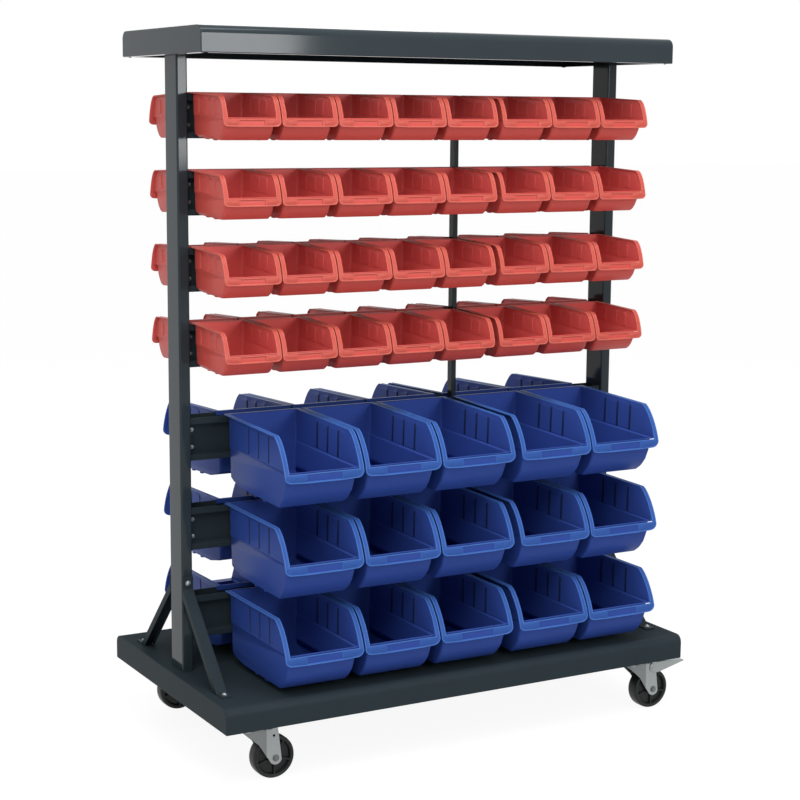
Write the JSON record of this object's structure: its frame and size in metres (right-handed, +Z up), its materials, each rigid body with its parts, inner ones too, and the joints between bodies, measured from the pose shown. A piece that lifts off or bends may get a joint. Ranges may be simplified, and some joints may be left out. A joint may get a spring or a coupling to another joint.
{
  "type": "mobile bin cart",
  "caption": "Two-sided wheeled cart with a top tray and louvred rails that carry rows of small and large open-fronted plastic bins.",
  "frame": {"origin": "on the floor, midway between the four castor swivel axes, under the middle of the base pan", "axes": "+X along the long side toward the braked castors, -Y the front, +Z up"},
  "size_m": [0.957, 0.5238, 1.2425],
  "materials": {
    "frame_paint": "gloss",
    "red_plastic": "gloss",
    "blue_plastic": "gloss",
    "zinc": "bright zinc",
    "wheel_black": "matt"
  },
  "bodies": {
    "cart_frame": {"base_pan": "frame_paint", "top_tray": "frame_paint", "cross_channels": "frame_paint", "post_left": "frame_paint", "post_right": "frame_paint", "post_centre": "frame_paint", "brace_front_left": "frame_paint", "brace_front_right": "frame_paint", "brace_rear_left": "frame_paint", "brace_rear_right": "frame_paint", "rails_front_small": "frame_paint", "rails_front_large": "frame_paint", "rails_rear_small": "frame_paint", "rails_rear_large": "frame_paint", "rail_cleats": "frame_paint", "brace_bolts": "zinc", "castor_bolts": "zinc", "castor_plates": "zinc"},
    "castor_fork_front_left": {"fork_front_left": "zinc", "axle_front_left": "zinc"},
    "castor_wheel_front_left": {"wheel_front_left": "wheel_black"},
    "castor_fork_front_right": {"fork_front_right": "zinc", "axle_front_right": "zinc"},
    "castor_wheel_front_right": {"wheel_front_right": "wheel_black"},
    "castor_fork_rear_left": {"fork_rear_left": "zinc", "axle_rear_left": "zinc"},
    "castor_wheel_rear_left": {"wheel_rear_left": "wheel_black"},
    "castor_fork_rear_right": {"fork_rear_right": "zinc", "axle_rear_right": "zinc"},
    "castor_wheel_rear_right": {"wheel_rear_right": "wheel_black"},
    "brake_front_right": {"brake_pedal_front_right": "zinc"},
    "brake_rear_right": {"brake_pedal_rear_right": "zinc"},
    "small_bins_front_1": {"small_bins_front_1": "red_plastic"},
    "small_bins_front_2": {"small_bins_front_2": "red_plastic"},
    "small_bins_front_3": {"small_bins_front_3": "red_plastic"},
    "small_bins_front_4": {"small_bins_front_4": "red_plastic"},
    "small_bins_rear_1": {"small_bins_rear_1": "red_plastic"},
    "small_bins_rear_2": {"small_bins_rear_2": "red_plastic"},
    "small_bins_rear_3": {"small_bins_rear_3": "red_plastic"},
    "small_bins_rear_4": {"small_bins_rear_4": "red_plastic"},
    "large_bin_1": {"large_bin_1": "blue_plastic"},
    "large_bin_2": {"large_bin_2": "blue_plastic"},
    "large_bin_3": {"large_bin_3": "blue_plastic"},
    "large_bin_4": {"large_bin_4": "blue_plastic"},
    "large_bin_5": {"large_bin_5": "blue_plastic"},
    "large_bins_front_2": {"large_bins_front_2": "blue_plastic"},
    "large_bins_front_3": {"large_bins_front_3": "blue_plastic"},
    "large_bins_rear_1": {"large_bins_rear_1": "blue_plastic"},
    "large_bins_rear_2": {"large_bins_rear_2": "blue_plastic"},
    "large_bins_rear_3": {"large_bins_rear_3": "blue_plastic"}
  },
  "joints": [
    {"name": "swivel_front_left", "type": "hinge", "parent": "cart_frame", "child": "castor_fork_front_left", "pos_m": [-0.393, -0.205, 0.0875], "axis": [0, 0, 1], "continuous": true},
    {"name": "wheel_spin_front_left", "type": "hinge", "parent": "castor_fork_front_left", "child": "castor_wheel_front_left", "pos_m": [-0.363, -0.205, 0.0375], "axis": [0, 1, 0], "continuous": true},
    {"name": "swivel_front_right", "type": "hinge", "parent": "cart_frame", "child": "castor_fork_front_right", "pos_m": [0.393, -0.205, 0.0875], "axis": [0, 0, 1], "continuous": true},
    {"name": "wheel_spin_front_right", "type": "hinge", "parent": "castor_fork_front_right", "child": "castor_wheel_front_right", "pos_m": [0.423, -0.205, 0.0375], "axis": [0, 1, 0], "continuous": true},
    {"name": "swivel_rear_left", "type": "hinge", "parent": "cart_frame", "child": "castor_fork_rear_left", "pos_m": [-0.393, 0.205, 0.0875], "axis": [0, 0, 1], "continuous": true},
    {"name": "wheel_spin_rear_left", "type": "hinge", "parent": "castor_fork_rear_left", "child": "castor_wheel_rear_left", "pos_m": [-0.363, 0.205, 0.0375], "axis": [0, 1, 0], "continuous": true},
    {"name": "swivel_rear_right", "type": "hinge", "parent": "cart_frame", "child": "castor_fork_rear_right", "pos_m": [0.393, 0.205, 0.0875], "axis": [0, 0, 1], "continuous": true},
    {"name": "wheel_spin_rear_right", "type": "hinge", "parent": "castor_fork_rear_right", "child": "castor_wheel_rear_right", "pos_m": [0.423, 0.205, 0.0375], "axis": [0, 1, 0], "continuous": true},
    {"name": "brake_pedal_front_right", "type": "hinge", "parent": "castor_fork_front_right", "child": "brake_front_right", "pos_m": [0.42, -0.205, 0.079], "axis": [0, 1, 0], "range_deg": [0, 12]},
    {"name": "brake_pedal_rear_right", "type": "hinge", "parent": "castor_fork_rear_right", "child": "brake_rear_right", "pos_m": [0.42, 0.205, 0.079], "axis": [0, 1, 0], "range_deg": [0, 12]},
    {"name": "lift_small_bins_front_1", "type": "slide", "parent": "cart_frame", "child": "small_bins_front_1", "axis": [0, 0, 1], "range_m": [0, 0.02]},
    {"name": "lift_small_bins_front_2", "type": "slide", "parent": "cart_frame", "child": "small_bins_front_2", "axis": [0, 0, 1], "range_m": [0, 0.02]},
    {"name": "lift_small_bins_front_3", "type": "slide", "parent": "cart_frame", "child": "small_bins_front_3", "axis": [0, 0, 1], "range_m": [0, 0.02]},
    {"name": "lift_small_bins_front_4", "type": "slide", "parent": "cart_frame", "child": "small_bins_front_4", "axis": [0, 0, 1], "range_m": [0, 0.02]},
    {"name": "lift_small_bins_rear_1", "type": "slide", "parent": "cart_frame", "child": "small_bins_rear_1", "axis": [0, 0, 1], "range_m": [0, 0.02]},
    {"name": "lift_small_bins_rear_2", "type": "slide", "parent": "cart_frame", "child": "small_bins_rear_2", "axis": [0, 0, 1], "range_m": [0, 0.02]},
    {"name": "lift_small_bins_rear_3", "type": "slide", "parent": "cart_frame", "child": "small_bins_rear_3", "axis": [0, 0, 1], "range_m": [0, 0.02]},
    {"name": "lift_small_bins_rear_4", "type": "slide", "parent": "cart_frame", "child": "small_bins_rear_4", "axis": [0, 0, 1], "range_m": [0, 0.02]},
    {"name": "lift_large_bin_1", "type": "slide", "parent": "cart_frame", "child": "large_bin_1", "axis": [0, 0, 1], "range_m": [0, 0.02]},
    {"name": "lift_large_bin_2", "type": "slide", "parent": "cart_frame", "child": "large_bin_2", "axis": [0, 0, 1], "range_m": [0, 0.02]},
    {"name": "lift_large_bin_3", "type": "slide", "parent": "cart_frame", "child": "large_bin_3", "axis": [0, 0, 1], "range_m": [0, 0.02]},
    {"name": "lift_large_bin_4", "type": "slide", "parent": "cart_frame", "child": "large_bin_4", "axis": [0, 0, 1], "range_m": [0, 0.02]},
    {"name": "lift_large_bin_5", "type": "slide", "parent": "cart_frame", "child": "large_bin_5", "axis": [0, 0, 1], "range_m": [0, 0.02]},
    {"name": "lift_large_bins_front_2", "type": "slide", "parent": "cart_frame", "child": "large_bins_front_2", "axis": [0, 0, 1], "range_m": [0, 0.02]},
    {"name": "lift_large_bins_front_3", "type": "slide", "parent": "cart_frame", "child": "large_bins_front_3", "axis": [0, 0, 1], "range_m": [0, 0.02]},
    {"name": "lift_large_bins_rear_1", "type": "slide", "parent": "cart_frame", "child": "large_bins_rear_1", "axis": [0, 0, 1], "range_m": [0, 0.02]},
    {"name": "lift_large_bins_rear_2", "type": "slide", "parent": "cart_frame", "child": "large_bins_rear_2", "axis": [0, 0, 1], "range_m": [0, 0.02]},
    {"name": "lift_large_bins_rear_3", "type": "slide", "parent": "cart_frame", "child": "large_bins_rear_3", "axis": [0, 0, 1], "range_m": [0, 0.02]}
  ]
}
